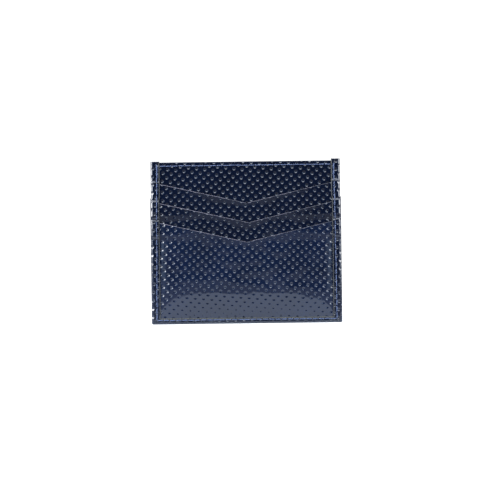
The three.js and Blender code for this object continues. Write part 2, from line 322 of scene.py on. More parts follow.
panel_bm, panel_edges = whole_panel(panel_box, turn=-7.1, shift=(0.2, 0.1))
give_body(panel_bm, PANEL_LEATHER, panel_edges)
drape(panel_bm, panel_front_y)
front_panel = finish_mesh(panel_bm, "front_panel_leather", [panel_patent])
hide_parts("front_panel")


# ---- Card pockets --------------------------------------------------------------------------------
# Three pieces of the same leather, 0.6 mm, each with its mouth cut to a shallow V. The upper and
# middle ones are T-shaped, held by their wings and foot; the lower one is sewn in all round.

POCKET_LEATHER = 0.6 * MM
EMPTY_CARD_GAP = 0.4 * MM  # what is left between pockets with no card in them
GLUE = 0.02 * MM
LIP = 0.25 * MM  # how far a mouth curls forward
LIP_REACH = 2.5 * MM
LIP_SIDE_FALL = 3  # how sharply the curl dies out towards the side seams
POCKETS = {
    # name: how many pockets stand behind it, turn of its rows, their shift, sideways shift of its V
    "upper_pocket": (0, 1.6, (0.3, 0.2), 0.4 * MM),
    "middle_pocket": (1, 6.3, (0.1, 0.4), 1.5 * MM),
    "lower_pocket": (2, -4.7, (0.4, 0.3), 0.4 * MM),
}
upper_box, middle_box, lower_box = (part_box(name) for name in POCKETS)
POCKET_STEP = upper_box[1].z - middle_box[1].z
SHEET_EDGE_X = lower_box[1].x
MOUTH_DEPTH_TO_EDGE = 11.44 * MM  # from a mouth's ends under the binding down to its middle
WING_HEIGHT = 18 * MM
STEM_HALF = 37 * MM
STEM_EASE = 3 * MM  # height over which a wing takes on the form of its stem
FOOT_SEWN, FOOT_REACH = 3 * MM, 5.1 * MM  # up to one a foot lies on the panel; past the other it is free
WING_EASE = 2.1 * MM
PAINT_AND_HIGHLIGHT_WIDTH = 0.22 * MM  # how far the paint of a mouth's cut edge, partly a painted highlight, shows on its face
first_seam_y = upper_box[1].y - POCKET_LEATHER
second_seam_y = first_seam_y - POCKET_LEATHER - GLUE
LOWEST = len(POCKETS) - 1  # how many pockets stand behind the lowest one


def smooth(value):
    """Eases a value in and out between 0 and 1."""
    value = min(max(value, 0), 1)
    return value * value * (3 - 2 * value)


def layer_y(behind, seam_y, x, z):
    """The face of a pocket that is sewn in at seam_y and has some pockets behind it."""
    flat_y = panel_flat_y - (behind + 1) * (POCKET_LEATHER + EMPTY_CARD_GAP)
    return seam_y + (flat_y - seam_y) * fullness(x, z)


def lower_front_y(x, z):
    """The face of the lower pocket, which also lies over the middle one's wings at its top."""
    wing_bottom = middle_box[1].z - WING_HEIGHT
    on_wing = smooth((z - wing_bottom + WING_EASE) / WING_EASE)
    return layer_y(LOWEST, first_seam_y + (second_seam_y - first_seam_y) * on_wing, x, z)


def pocket_form(name):
    """The face of a pocket as y of (x, z), from where it is sewn to where it lies flat."""
    behind, _, _, apex = POCKETS[name]
    low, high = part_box(name)
    wing_bottom = high.z - WING_HEIGHT
    wing_behind = wing_bottom + POCKET_STEP
    mouth_slope = MOUTH_DEPTH_TO_EDGE / SHEET_EDGE_X

    def front_y(x, z):
        if behind == LOWEST:
            y = lower_front_y(x, z)
        else:
            on_wing = smooth((z - wing_behind + WING_EASE) / WING_EASE) if behind else 0
            seam_y = first_seam_y + (second_seam_y - first_seam_y) * on_wing
            winged_y = layer_y(behind, seam_y, x, z)
            # a stem is loose at its sides, so it shares the room between the panel and the pocket
            # in front of it
            back_y = panel_front_y(x, z)
            stem_y = back_y + (lower_front_y(x, z) - back_y) * (behind + 1) / len(POCKETS)
            stem_only = 1 - smooth((z - wing_bottom) / STEM_EASE)
            y = winged_y + (stem_y - winged_y) * stem_only
            raised = smooth((z - low.z - FOOT_SEWN) / (FOOT_REACH - FOOT_SEWN))
            foot_y = back_y - POCKET_LEATHER - GLUE
            y = foot_y + (y - foot_y) * raised
        mouth_z = high.z - MOUTH_DEPTH_TO_EDGE + abs(x - apex) * mouth_slope
        below = max(mouth_z - z, 0)
        free = max(1 - (abs(x) / LAND_X) ** LIP_SIDE_FALL, 0)
        return y - LIP * math.exp(-below / LIP_REACH) * free

    return front_y


def score(bm, point, direction, clear_beyond=False):
    """Cuts the faces of flat leather along a straight line."""
    bmesh.ops.bisect_plane(
        bm, geom=bm.verts[:] + bm.edges[:] + bm.faces[:], dist=CUT_SLACK, plane_co=(*point, 0),
        plane_no=(*direction, 0), clear_outer=clear_beyond,
    )


def tint(tree, shader, strength, dark, pale, start=0, end=1):
    """Colours a shader from dark to pale as a strength goes from start to end."""
    ramp = tree.nodes.new("ShaderNodeValToRGB")
    first, last = ramp.color_ramp.elements
    first.position, first.color = start, (*dark, 1)
    last.position, last.color = end, (*pale, 1)
    tree.links.new(strength, ramp.inputs["Fac"])
    tree.links.new(ramp.outputs["Color"], shader.inputs["Base Color"])


PAINTED_LIGHT_LEAN = -4  # painted light: how much darker the mouth edges are coloured from left to right, per metre


def edge_paint_and_highlight_material():
    """Grey-mauve edge paint on the cut mouths, worn thin in places. Its pale tone is partly a painted
    highlight along each edge.
    """
    material, tree, shader = new_material("mouth_edge_paint_and_painted_highlight")
    set_sockets(shader, {"Roughness": 0.4})
    place = tree.nodes.new("ShaderNodeTexCoord")
    across = tree.nodes.new("ShaderNodeSeparateXYZ")
    tree.links.new(place.outputs["Object"], across.inputs["Vector"])
    worn = grain(tree, scale=260, detail=3)
    # painted light: the left halves are coloured paler and the right halves darker, as the light falls
    # from the left
    paint_and_painted_light = calculated(tree, "MULTIPLY_ADD", across.outputs["X"], PAINTED_LIGHT_LEAN, worn)
    tint(tree, shader, paint_and_painted_light, (0.015, 0.016, 0.025), (0.09, 0.083, 0.105), start=0.35, end=0.65)
    return material


mouth_paint_and_highlight = edge_paint_and_highlight_material()
# A lighter copy of the navy patent for the lowest pocket: painted light, standing in for the extra light
# that reaches the bottom of the case from the floor.
lower_patent_painted_lighter = patent_leather("navy_patent_painted_lighter", (0.002, 0.0036, 0.01), (0.0048, 0.0105, 0.031))


def cut_stem(bm, wing_z):
    """Cuts the lower part of a pocket down to its stem."""
    score(bm, (0, wing_z), (0, 1))
    score(bm, (STEM_HALF, 0), (1, 0))
    score(bm, (-STEM_HALF, 0), (1, 0))
    beside_stem = [
        face for face in bm.faces
        if face.calc_center_median().y < wing_z and abs(face.calc_center_median().x) > STEM_HALF
    ]
    bmesh.ops.delete(bm, geom=beside_stem, context="FACES")


def mark_mouth_paint_and_highlight(bm, edges, mouth_bottom):
    """Gives the second material to the faces along the trimmed edges of a mouth."""
    for face in bm.faces:
        place = face.calc_center_median()
        if place.y < mouth_bottom:
            continue
        for point, outward, side, split in edges:
            near_edge = (point - place).dot(outward) < PAINT_AND_HIGHLIGHT_WIDTH
            if side and near_edge and (place.x - split) * side > 0:
                face.material_index = 1


for name, (behind, turn, shift, apex) in POCKETS.items():
    low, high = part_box(name)
    bm = stamped_leather(low.x, low.z, high.x, high.z, turn, shift)
    edges = [trim(bm, (0, low.z), (0, -1))]
    score(bm, (apex, 0), (1, 0))
    for side in (-1, 1):
        run = SHEET_EDGE_X - side * apex
        outward = (-side * MOUTH_DEPTH_TO_EDGE, run)
        edges.append(trim(bm, (side * SHEET_EDGE_X, high.z), outward, side, apex))
    edges += [trim(bm, (high.x, 0), (1, 0)), trim(bm, (low.x, 0), (-1, 0))]
    if behind < LOWEST:
        cut_stem(bm, high.z - WING_HEIGHT)
    give_body(bm, POCKET_LEATHER, edges)
    mark_mouth_paint_and_highlight(bm, edges, high.z - MOUTH_DEPTH_TO_EDGE - MM)
    drape(bm, pocket_form(name))
    # the lowest pocket takes the lighter copy of the patent, which is painted light
    patent = lower_patent_painted_lighter if behind == LOWEST else panel_patent
    pocket = finish_mesh(bm, name + "_leather", [patent, mouth_paint_and_highlight])
    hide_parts(name)


# ---- Foot stitching ------------------------------------------------------------------------------
# The foot of each T-shaped pocket is sewn to the front panel with one row of bonded polyester
# thread, before the pocket in front of it goes on. Each stitch dips into the leather at its holes.

THREAD = 0.43 * MM
STITCH = 3.3 * MM
SUNK = 0.1 * MM  # how far the thread is drawn into the leather
STRAND_SIDES = 6
# Along a stitch, from hole to hole: place as a share of its length, height, share of thickness.
STITCH_RINGS = (
    (-0.49, -0.35 * MM, 0.7), (-0.46, -0.05 * MM, 0.85), (-0.36, 0.17 * MM, 1),
    (-0.12, 0.24 * MM, 1.05), (0.12, 0.24 * MM, 1.05), (0.36, 0.17 * MM, 1),
    (0.46, -0.05 * MM, 0.85), (0.49, -0.35 * MM, 0.7),
)
FOOT_SEAM_HALF = 31 * MM
UNEVEN = 0.13 * MM  # how far a stitch strays from the line at most
SLANT = 0.08  # how far a stitch turns out of the line at most, as a share of its length
STRAY_GRAIN, SLANT_GRAIN = 900, 700  # per metre; high enough for each stitch to differ
SLANT_AT = Vector((5, 0, 0))


def one_stitch():
    """A mesh of one stitch of unit length along x, lying on z = 0."""
    bm = bmesh.new()
    rim = bmesh.ops.create_circle(bm, segments=STRAND_SIDES, radius=THREAD / 2)["verts"]
    bmesh.ops.rotate(bm, verts=rim, matrix=Matrix.Rotation(math.radians(90), 3, "Y"))
    ends = bm.edges[:]
    place, height, girth = STITCH_RINGS[0]
    bmesh.ops.scale(bm, verts=rim, vec=(1, girth, girth))
    bmesh.ops.translate(bm, verts=rim, vec=(place, 0, height))
    for next_place, next_height, next_girth in STITCH_RINGS[1:]:
        grown = bmesh.ops.extrude_edge_only(bm, edges=ends)["geom"]
        rim = [part for part in grown if isinstance(part, bmesh.types.BMVert)]
        ends = [part for part in grown if isinstance(part, bmesh.types.BMEdge)]
        ends = [edge for edge in ends if all(vert in rim for vert in edge.verts)]
        bmesh.ops.translate(bm, verts=rim, vec=(-place, 0, -height))
        swell = next_girth / girth
        bmesh.ops.scale(bm, verts=rim, vec=(1, swell, swell))
        bmesh.ops.translate(bm, verts=rim, vec=(next_place, 0, next_height))
        place, height, girth = next_place, next_height, next_girth
    bmesh.ops.holes_fill(bm, edges=bm.edges[:], sides=STRAND_SIDES)
    bmesh.ops.recalc_face_normals(bm, faces=bm.faces[:])
    strand = bm.loops.layers.uv.new("strand")
    for face in bm.faces:
        turns = [math.atan2(loop.vert.co.y, loop.vert.co.z) / math.tau % 1 for loop in face.loops]
        wraps = max(turns) - min(turns) > 0.5
        for loop, turn in zip(face.loops, turns):
            loop[strand].uv = (loop.vert.co.x, turn + 1 if wraps and turn < 0.5 else turn)
    mesh = bpy.data.meshes.new("one_stitch")
    bm.to_mesh(mesh)
    bm.free()
    return mesh


stitch_mesh = one_stitch()


def sew(bm, holes, outward):
    """Lays one stitch between each two holes, on the side of the leather that outward points to."""
    outward = Vector(outward)
    for start, end in zip(holes, holes[1:]):
        count = len(bm.verts)
        bm.from_mesh(stitch_mesh)
        bm.verts.ensure_lookup_table()
        along = end - start
        side = outward.cross(along).normalized()
        out = along.cross(side).normalized()
        spot = (start + end) / 2
        stray = noise.noise(spot * STRAY_GRAIN) * UNEVEN
        slant = noise.noise(spot * SLANT_GRAIN + SLANT_AT) * SLANT
        place = Matrix((along + side * slant * STITCH, side, out)).transposed().to_4x4()
        place.translation = spot + side * stray - out * SUNK
        bmesh.ops.transform(bm, matrix=place, verts=bm.verts[count:])


PLIES = 3
TURNS_PER_STITCH = 2


def thread_material():
    """Steel-blue bonded thread of three plies laid round each other."""
    material, tree, shader = new_material("steel_blue_thread")
    set_sockets(shader, {"Roughness": 0.45, "Sheen Weight": 0.15})
    strand = tree.nodes.new("ShaderNodeUVMap")
    strand.uv_map = "strand"
    split = tree.nodes.new("ShaderNodeSeparateXYZ")
    tree.links.new(strand.outputs["UV"], split.inputs["Vector"])
    round_it = calculated(tree, "MULTIPLY", split.outputs["Y"], PLIES * math.tau)
    turned = calculated(
        tree, "MULTIPLY_ADD", split.outputs["X"], PLIES * TURNS_PER_STITCH * math.tau, round_it
    )
    ridge = calculated(tree, "SINE", turned)
    raise_grain(tree, shader, ridge, strength=0.5, depth=0.05 * MM)
    # painted shade: the thread is coloured darker in the grooves between its plies and paler on their
    # crests, where light and shade fall on the twist
    height = calculated(tree, "MULTIPLY_ADD", ridge, 0.5, 0.5)
    tint(tree, shader, height, (0.025, 0.04, 0.09), (0.075, 0.11, 0.22))
    return material


thread_blue = thread_material()


def straight_seam(half, z, face_y):
    """The holes of a level seam across the case."""
    count = round(2 * half / STITCH)
    spots = [(2 * half * step / count - half, z) for step in range(count + 1)]
    return [Vector((x, face_y(x, z), z)) for x, z in spots]


for name in ("upper", "middle"):
    cad_low, cad_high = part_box(name + "_foot_stitching")
    seam_z = (cad_low.z + cad_high.z) / 2
    bm = bmesh.new()
    sew(bm, straight_seam(FOOT_SEAM_HALF, seam_z, pocket_form(name + "_pocket")), (0, -1, 0))
    foot_seam = finish_mesh(bm, name + "_foot_seam", [thread_blue])
    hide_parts(name + "_foot_stitching")


# ---- Boards and linings --------------------------------------------------------------------------
# Each wall is stiffened by a grey fibre board, pared thin towards its edges, and covered on the
# note pocket's side by a thin woven lining that is glued down and sewn into the same seams.

BOARD = 0.5 * MM
LINING = 0.2 * MM
SHEET_CELL = 2.5 * MM
BOARD_END_EASE = 2.1 * MM  # height over which the lining closes in above the board
board_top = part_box("front_stiffener")[1].z


def board_room(x, z):
    """The room that the board takes up between the leather and the lining."""
    past_board = smooth((z - board_top) / BOARD_END_EASE)
    return (BOARD + GLUE) * fullness(x, z) * (1 - past_board)


def plain_sheet(box):
    """A flat sheet over a box, in small squares."""
    low, high = box
    bm = bmesh.new()
    bmesh.ops.create_grid(
        bm, x_segments=round((high.x - low.x) / SHEET_CELL),
        y_segments=round((high.z - low.z) / SHEET_CELL), size=0.5,
    )
    bmesh.ops.scale(bm, verts=bm.verts, vec=(high.x - low.x, high.z - low.z, 1))
    bmesh.ops.translate(bm, verts=bm.verts, vec=((high.x + low.x) / 2, (high.z + low.z) / 2, 0))
    return bm


def board_and_lining(wall, inner_y, way, turned):
    """Makes a wall's board and lining, which lie on the leather's inner face, inner_y.

    The way is 1 where they lie behind the leather and -1 where they lie in front of it.
    """
    board_box, lining_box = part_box(wall + "_stiffener"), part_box(wall + "_lining")
    bm = plain_sheet(board_box)
    give_body(bm, BOARD, [])
    for vert in bm.verts:
        if vert.co.z < 0:  # the side away from the leather
            room = board_room(-vert.co.x if turned else vert.co.x, vert.co.y)
            vert.co.z = -max(room - GLUE / 2, GLUE)
    drape(bm, lambda x, z: inner_y(x, z) + way * GLUE / 2, turned)
    board = finish_mesh(bm, wall + "_board", [fibre_board])
    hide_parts(wall + "_stiffener")
    bm = plain_sheet(lining_box)
    give_body(bm, LINING, [])
    drape(bm, lambda x, z: inner_y(x, z) + way * (GLUE + board_room(x, z)), turned)
    lining = finish_mesh(bm, wall + "_lining_cloth", [lining_cloth])
    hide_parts(wall + "_lining")


def board_material():
    """Grey pressed fibre."""
    material, tree, shader = new_material("grey_fibre_board")
    set_sockets(shader, {"Roughness": 0.85})
    fibres = grain(tree, scale=1500, detail=5)
    tint(tree, shader, fibres, (0.12, 0.11, 0.1), (0.3, 0.28, 0.25))
    raise_grain(tree, shader, fibres, strength=0.4, depth=0.03 * MM)
    return material


def lining_material():
    """Navy plain-woven lining, about 25 threads to the centimetre."""
    material, tree, shader = new_material("navy_lining")
    set_sockets(shader, {"Roughness": 0.6, "Sheen Weight": 0.3})
    place = tree.nodes.new("ShaderNodeTexCoord")
    threads = []
    for way in "XZ":
        wave = tree.nodes.new("ShaderNodeTexWave")
        wave.bands_direction = way
        set_sockets(wave, {"Scale": 780, "Distortion": 0.6})
        tree.links.new(place.outputs["Object"], wave.inputs["Vector"])
        threads.append(wave.outputs["Fac"])
    weave = calculated(tree, "MULTIPLY", *threads)
    # painted shade: the cloth is coloured darker where its threads dip under each other and paler on
    # their tops
    tint(tree, shader, weave, (0.006, 0.009, 0.025), (0.025, 0.035, 0.09))
    raise_grain(tree, shader, weave, strength=0.4, depth=0.04 * MM)
    return material


fibre_board = board_material()
lining_cloth = lining_material()


def front_inner_y(x, z):
    return panel_front_y(x, z) + PANEL_LEATHER


board_and_lining("front", front_inner_y, way=1, turned=False)


# ---- Back wall -----------------------------------------------------------------------------------
# The back is one plain panel of the stamped patent leather, 0.8 mm, built like the front wall with
# its own board and lining, and hemmed along the top.

back_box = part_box("back_panel")
back_seam_y = back_box[0].y + PANEL_LEATHER


def back_face_y(x, z):
    return back_seam_y + (back_box[1].y - back_seam_y) * fullness(x, z)


def back_inner_y(x, z):
    return back_face_y(x, z) - PANEL_LEATHER


back_bm, back_edges = whole_panel(back_box, turn=3.2, shift=(0.1, 0.3))
give_body(back_bm, PANEL_LEATHER, back_edges)
drape(back_bm, back_face_y, turned=True)
back_panel = finish_mesh(back_bm, "back_panel_leather", [panel_patent])
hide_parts("back_panel")
board_and_lining("back", back_inner_y, way=-1, turned=True)


# ---- Hem stitching -------------------------------------------------------------------------------
# Each wall's leather and lining are sewn together along the top edge by a seam of their own, so
# the thread shows on the leather and again inside the note pocket.

HEM_HALF = 45 * MM


def front_lining_y(x, z):
    return front_inner_y(x, z) + GLUE + board_room(x, z) + LINING


def back_lining_y(x, z):
    return back_inner_y(x, z) - GLUE - board_room(x, z) - LINING


HEM_FACES = {
    "front": ((panel_front_y, (0, -1, 0)), (front_lining_y, (0, 1, 0))),
    "back": ((back_face_y, (0, 1, 0)), (back_lining_y, (0, -1, 0))),
}
for wall, faces in HEM_FACES.items():
    cad_low, cad_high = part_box(wall + "_top_stitching")
    seam_z = (cad_low.z + cad_high.z) / 2
    bm = bmesh.new()
    for face_y, outward in faces:
        sew(bm, straight_seam(HEM_HALF, seam_z, face_y), outward)
    hem_seam = finish_mesh(bm, wall + "_hem_seam", [thread_blue])
    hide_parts(wall + "_top_stitching")


# ---- Bindings ------------------------------------------------------------------------------------
# Strips of the same stamped leather, 0.5 mm, are folded round the sides and the bottom over the raw
# edges of every layer, and mitred at the lower corners. Their own inner edges are left raw.

BINDING_LEATHER = 0.5 * MM
RAW_BEVEL = 0.36 * MM  # width of the raw edge as it shows from the front
RAW_DROP = 0.42 * MM  # how far it slopes down over that width
ROLL = 0.45  # radius of the fold as a share of its thickness
CORNER = 0.9 * MM
STEEPEST = 0.9  # how steeply a strip climbs over the end of a layer under it
SEAM_GROOVE = 0.12 * MM
GROOVE_HALF = 0.35 * MM
SIDE_SEAM_INSET = 1.65 * MM  # from a strip's raw edge to its seam
BOTTOM_SEAM_INSET = 1 * MM
FOLD_LEATHER = 1.4 * MM  # half a strip's width beyond what shows of one leg
FOLD_REACH = 1.7 * MM  # how much of each leg bends
FOLD_CUTS = [0.45 * MM * step for step in range(7)]
NEAR = 0.01 * MM  # points this near to a scored line belong to it
FLESH_DEPTH = 0.8 * BINDING_LEATHER  # points deeper than this are on the flesh side
side_reach = binding_box[1].x - LAND_X  # drawn in as far as the pressed land goes
bottom_reach = bottom_box[1].z - bottom_box[0].z
# the strips are cut square and pulled tighter where fewer layers fill the fold
TOP_TIGHTER = 0.35 * MM
tight_above = middle_box[1].z + 1.2 * MM
TIGHT_EASE = 0.8 * MM
outer_back_y = back_seam_y + GLUE + BINDING_LEATHER
pocket_boxes = {name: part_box(name) for name in POCKETS}
pocket_forms = {name: pocket_form(name) for name in POCKETS}


def layers_y(z):
    """How far forward the leather under a side binding comes at a height."""
    y = panel_seam_y
    for name, (behind, _, _, _) in POCKETS.items():
        high_z = pocket_boxes[name][1].z
        bottom = high_z - WING_HEIGHT if behind < LOWEST else 0
        if bottom < z < high_z:
            y = min(y, pocket_forms[name](SHEET_EDGE_X, z))
    return y


PROFILE_STEP = 0.15 * MM
PROFILE_COUNT = 600  # steps that cover the height of the case
SPREAD = 8  # steps over which a strip can bridge a hollow place
profile_steps = range(PROFILE_COUNT)
under_strip = [layers_y(step * PROFILE_STEP) for step in profile_steps]


def pulled_tight_y(step):
    """The face of a side binding at a step of its height, bridging the ends of the layers."""
    reached = []
    for off in range(-SPREAD, SPREAD + 1):
        there = min(max(step + off, 1), PROFILE_COUNT - 1)
        reached.append(under_strip[there] + abs(off) * PROFILE_STEP * STEEPEST)
    return min(reached) - GLUE - BINDING_LEATHER


strip_profile = [pulled_tight_y(step) for step in profile_steps]


def strip_front_y(z):
    """The face of a side binding at any height."""
    step = min(max(z / PROFILE_STEP, 0), PROFILE_COUNT - 2)
    below = int(step)
    return strip_profile[below] + (strip_profile[below + 1] - strip_profile[below]) * (step - below)


def strip_edge(z):
    """How far out the fold of a side binding comes."""
    return HALF_WIDTH - TOP_TIGHTER * smooth((z - tight_above) / TIGHT_EASE)


def flat_strip(start, end, reach, seam_inset, turn, shift, cuts, square_ends):
    """A strip of leather laid flat, long way along y, ready to be folded in half."""
    half = reach + FOLD_LEATHER
    bm = stamped_leather(-half, start, half, end, turn, shift)
    groove = (seam_inset - GROOVE_HALF, seam_inset, seam_inset + GROOVE_HALF)
    bends = [reach - FOLD_REACH + cut for cut in FOLD_CUTS]
    for side in (-1, 1):
        score(bm, (side * half, 0), (side, 0), clear_beyond=True)
        for inset in (RAW_BEVEL, *groove, *bends):
            score(bm, (side * (half - inset), 0), (1, 0))
    for place in cuts:
        score(bm, (0, place), (0, 1))
    blunted = []
    for place, outward in ((start, -1), (end, 1)):
        edge = trim(bm, (0, place), (0, outward))
        if place in square_ends:
            blunted.append(edge)
    give_body(bm, BINDING_LEATHER, blunted)
    for face in bm.faces:
        if all(half - abs(vert.co.x) < RAW_BEVEL + NEAR for vert in face.verts):
            face.material_index = 1
    for vert in bm.verts:
        inset = half - abs(vert.co.x)
        if vert.co.z <= -FLESH_DEPTH:
            continue
        if inset < RAW_BEVEL:
            vert.co.z = -RAW_DROP * (1 - inset / RAW_BEVEL)
        elif abs(inset - seam_inset) < NEAR:
            vert.co.z -= SEAM_GROOVE
    return bm, half


def fold_over(bm, half, reach, front_y, squash, place):
    """Folds a flat strip round an edge, from its front face to the back of the case.

    place(out, y, along) gives a point, with out counted inwards from the edge. The fold's radius
    inwards is squash times its depth.
    """
    leg, arc = reach - FOLD_REACH, FOLD_REACH * math.pi / 2
    spare = half - leg - arc
    for vert in bm.verts:
        across, along, rise = vert.co
        front, back = front_y(along), outer_back_y
        corner = ROLL * (back - front)
        sideways = corner * squash
        inset = half - abs(across)
        if inset < leg:
            out, deep, lean = reach - inset / leg * (reach - sideways), 0, Vector((0, -1))
        elif inset < leg + arc:
            angle = (inset - leg) / arc * math.pi / 2
            out, deep = sideways * (1 - math.sin(angle)), corner * (1 - math.cos(angle))
            lean = Vector((-math.sin(angle) * corner, -math.cos(angle) * sideways)).normalized()
        else:
            way_back = (inset - leg - arc) / spare
            out, deep, lean = 0, corner + way_back * ((back - front) / 2 - corner), Vector((-1, 0))
        out += lean.x * rise
        deep += lean.y * rise
        vert.co = place(out, front + deep if across < 0 else back - deep, along)


def mitre(bm, side, keep_up):
    """Cuts a folded strip along the mitre of a lower corner."""
    outward = Vector((side * bottom_reach, 0, side_reach)).normalized()
    if keep_up:
        outward = -outward
    corner = Vector((side * HALF_WIDTH, 0, 0)) - outward * GLUE
    bmesh.ops.bisect_plane(
        bm, geom=bm.verts[:] + bm.edges[:] + bm.faces[:], dist=CUT_SLACK, plane_co=corner,
        plane_no=outward, clear_outer=True,
    )
    bmesh.ops.dissolve_degenerate(bm, edges=bm.edges[:], dist=5 * CUT_SLACK)
    rim = [edge for edge in bm.edges if edge.is_boundary]
    bmesh.ops.holes_fill(bm, edges=rim, sides=0)


def round_corners(bm):
    """Rounds the lower corners of the case by wear."""
    for vert in bm.verts:
        x, y, z = vert.co
        aside, under = CORNER - (HALF_WIDTH - abs(x)), CORNER - z
        if aside > 0 and under > 0:
            shrink = max(aside, under) / math.hypot(aside, under)
            x = math.copysign(HALF_WIDTH - CORNER + aside * shrink, x)
            vert.co = (x, y, CORNER - under * shrink)


def raw_edge_material():
    """The undyed core of the leather where a strip was cut: tan, matt and fibrous."""
    material, tree, shader = new_material("raw_cut_leather")
    set_sockets(shader, {"Roughness": 0.8})
    fibres = grain(tree, scale=1800, detail=4)
    tint(tree, shader, fibres, (0.02, 0.024, 0.03), (0.06, 0.055, 0.036), start=0.3, end=0.7)
    raise_grain(tree, shader, fibres, strength=0.5, depth=0.05 * MM)
    return material


binding_patent = patent_leather("binding_patent", NAVY_DEEP, NAVY_LIT)
raw_edge = raw_edge_material()
MITRE_SPARE = 0.6 * MM  # length beyond a lower corner that the mitre takes off
MOUTH_CUTS = (-0.3, 0, 0.25, 0.5, 0.75, 1.1)  # mm from a mouth's end, where a strip steps over it
WING_CUTS = (0, 0.6, 1.2, 1.8)  # mm below the lower end of the wing under it
CORNER_CUTS = (0.25, 0.5, 0.75, 1.05, 1.4, 1.9, 2.5, 3.2)  # mm from a lower corner
ridge_cuts = []
for name, (behind, _, _, _) in POCKETS.items():
    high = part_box(name)[1]
    ridge_cuts += [high.z + step * MM for step in MOUTH_CUTS]
    if behind:
        ridge_cuts += [high.z + POCKET_STEP - WING_HEIGHT - step * MM for step in WING_CUTS]
corner_cuts = [step * MM for step in CORNER_CUTS]
SIDE_STRIPS = {
    # name: side, turn of its rows, their shift, how far its top stands above the panels
    "left_binding": (-1, 4, (0.1, 0.2), 0.5 * MM),
    "right_binding": (1, -3, (0.3, 0), 1 * MM),
}


def finish_strip(bm, name):
    """Makes a folded strip's object."""
    round_corners(bm)
    bmesh.ops.recalc_face_normals(bm, faces=bm.faces[:])
    strip = finish_mesh(bm, name + "_leather", [binding_patent, raw_edge])
    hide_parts(name)


panel_top = panel_box[1].z
for name, (side, turn, shift, proud) in SIDE_STRIPS.items():
    top = panel_top + proud
    cuts = ridge_cuts + corner_cuts
    bm, half = flat_strip(
        -MITRE_SPARE, top, side_reach, SIDE_SEAM_INSET, turn, shift, cuts, square_ends=(top,)
    )
    fold_over(
        bm, half, side_reach, strip_front_y, 1,
        lambda out, y, along: (side * (strip_edge(along) - out), y, along),
    )
    mitre(bm, side, keep_up=True)
    finish_strip(bm, name)

end = HALF_WIDTH + MITRE_SPARE
bottom_cuts = [side * (HALF_WIDTH - cut) for cut in corner_cuts for side in (-1, 1)]
bm, half = flat_strip(
    -end, end, bottom_reach, BOTTOM_SEAM_INSET, turn=2, shift=(0.2, 0.1), cuts=bottom_cuts,
    square_ends=(),
)
fold_over(
    bm, half, bottom_reach, lambda along: strip_front_y(0), bottom_reach / side_reach,
    lambda out, y, along: (along, y, out),
)
for side in (-1, 1):
    mitre(bm, side, keep_up=False)
finish_strip(bm, "bottom_binding")


# ---- Edge stitching ------------------------------------------------------------------------------
# One long seam runs down one side, along the bottom and up the other, through both legs of the
# bindings and all the layers between them. Its ends at the top corners are sewn over again.

edge_low, edge_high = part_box("edge_stitching")
SEAM_SIDE_X = (edge_high.x - edge_low.x) / 2
SEAM_BOTTOM_Z = edge_low.z + 0.2 * MM  # the middle of the cord
SEAM_TOP_Z = 84 * MM
SEAM_STRAY = 0.6 * MM  # how far the seam wanders inwards towards the top
WANDER = 0.25 * MM
WANDER_GRAIN = 45  # per metre
WANDER_APART = 3  # keeps the wandering of the two sides different
TACK_ASIDE, TACK_DROP = 0.25 * MM, 0.9 * MM  # where the locking stitches lie from the first ones
TACK_OVER = 0.15 * MM


def seam_x(side, z):
    """The hand-guided line of the seam up a side."""
    rise = (z - SEAM_BOTTOM_Z) / (SEAM_TOP_Z - SEAM_BOTTOM_Z)
    wander = noise.noise(Vector((side * WANDER_APART, 0, z * WANDER_GRAIN))) * WANDER
    return side * (SEAM_SIDE_X - SEAM_STRAY * smooth(rise) + wander * math.sin(math.pi * rise))


def strip_face_y(z):
    return strip_front_y(z) + SEAM_GROOVE


side_count = round((SEAM_TOP_Z - SEAM_BOTTOM_Z) / STITCH)
bottom_count = round(2 * SEAM_SIDE_X / STITCH)
rising = [
    SEAM_BOTTOM_Z + (SEAM_TOP_Z - SEAM_BOTTOM_Z) * step / side_count for step in range(side_count + 1)
]
path = [(seam_x(-1, z), z) for z in reversed(rising)]
path += [
    (SEAM_SIDE_X * (2 * step / bottom_count - 1), SEAM_BOTTOM_Z) for step in range(1, bottom_count)
]
path += [(seam_x(1, z), z) for z in rising]
back_seam_line_y = outer_back_y - SEAM_GROOVE
bm = bmesh.new()
sew(bm, [Vector((x, strip_face_y(z), z)) for x, z in path], (0, -1, 0))
sew(bm, [Vector((x, back_seam_line_y, z)) for x, z in path], (0, 1, 0))
for side in (-1, 1):
    # the two stitches that lock each end lie over the first ones, half a thread to one side
    tack = [(seam_x(side, z) - side * TACK_ASIDE, z - TACK_DROP) for z in rising[-3:]]
    sew(bm, [Vector((x, strip_face_y(z) - TACK_OVER, z)) for x, z in tack], (0, -1, 0))
    sew(bm, [Vector((x, back_seam_line_y + TACK_OVER, z)) for x, z in tack], (0, 1, 0))
edge_seam = finish_mesh(bm, "edge_seam", [thread_blue])
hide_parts("edge_stitching")


# ---- Stage ---------------------------------------------------------------------------------------
# The case stands upright on a white floor, in a white tent whose front is dark where the camera is, lit
# by a soft light from above and one from either side, and from below by a glowing pool painted on the
# floor.

FLOOR_HALF = 2.0
FLOOR_FRONT = 1.0  # how far the floor comes forward, to just below what the camera sees
FLOOR_DROP = 0.05 * MM
floor_bm = bmesh.new()
bmesh.ops.create_grid(floor_bm, x_segments=1, y_segments=1, size=FLOOR_HALF)
bmesh.ops.translate(floor_bm, verts=floor_bm.verts, vec=(0, FLOOR_HALF - FLOOR_FRONT, 0))
floor_mesh = bpy.data.meshes.new("floor")
floor_bm.to_mesh(floor_mesh)
floor_bm.free()
floor = bpy.data.objects.new("floor", floor_mesh)
bpy.context.collection.objects.link(floor)
floor.location.z = -FLOOR_DROP

